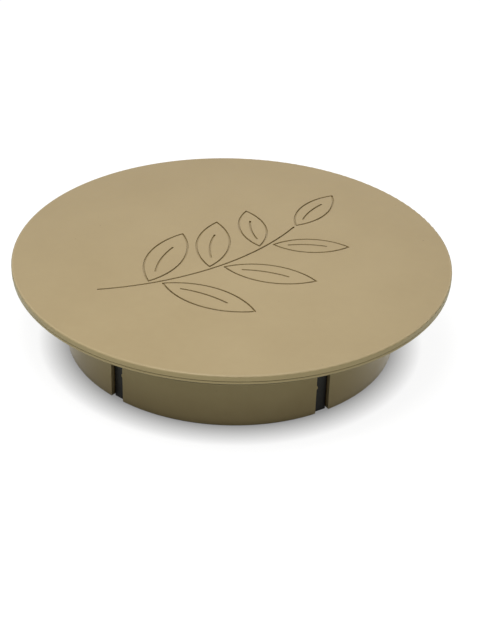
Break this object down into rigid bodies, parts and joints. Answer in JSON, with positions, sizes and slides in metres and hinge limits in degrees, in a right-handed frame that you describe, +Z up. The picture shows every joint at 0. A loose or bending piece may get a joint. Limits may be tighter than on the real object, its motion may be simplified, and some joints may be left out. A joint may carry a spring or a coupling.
{
  "type": "desk cable grommet",
  "caption": "Round desk cable grommet: slotted push-in sleeve, dark liner with a rotary cable shutter, and a plain lift-off disc cover with an engraved leaf spray.",
  "frame": {"origin": "on the grommet's axis, in the plane of the desk surface (the underside of the flange gasket)", "axes": "+Z up, out of the desk and along the hole's axis; -Y is the front, at the middle of one spring finger; +X to the right"},
  "size_m": [0.104, 0.104, 0.0219],
  "materials": {
    "cover_plastic": "satin, fine moulded grain",
    "sleeve_plastic": "satin, fine moulded grain",
    "liner_plastic": "fine grain",
    "shutter_plastic": "fine grain",
    "cap_plastic": "smooth",
    "bush_plastic": "smooth, low friction",
    "trim_rubber": "matt",
    "ring_rubber": "matt",
    "gasket_foam": "closed-cell foam",
    "spring_steel": "rolled",
    "plated_steel": "zinc plated"
  },
  "bodies": {
    "sleeve": {"sleeve": "sleeve_plastic", "flange_gasket": "gasket_foam", "inner_liner": "liner_plastic", "edge_trim_right": "trim_rubber", "edge_trim_left": "trim_rubber", "pivot_bush": "bush_plastic", "wave_washer": "spring_steel", "flat_washer": "plated_steel", "pivot_screw": "plated_steel"},
    "shutter": {"shutter": "shutter_plastic", "hub_cap": "cap_plastic"},
    "cover": {"cover_disc": "cover_plastic", "cover_o_ring": "ring_rubber"}
  },
  "joints": [
    {"name": "shutter_turn", "type": "hinge", "parent": "sleeve", "child": "shutter", "pos_m": [0, 0, -0.006], "axis": [0, 0, 1], "range_deg": [0, 90]},
    {"name": "cover_lift", "type": "slide", "parent": "sleeve", "child": "cover", "axis": [0, 0, 1], "range_m": [0, 0.03]}
  ]
}
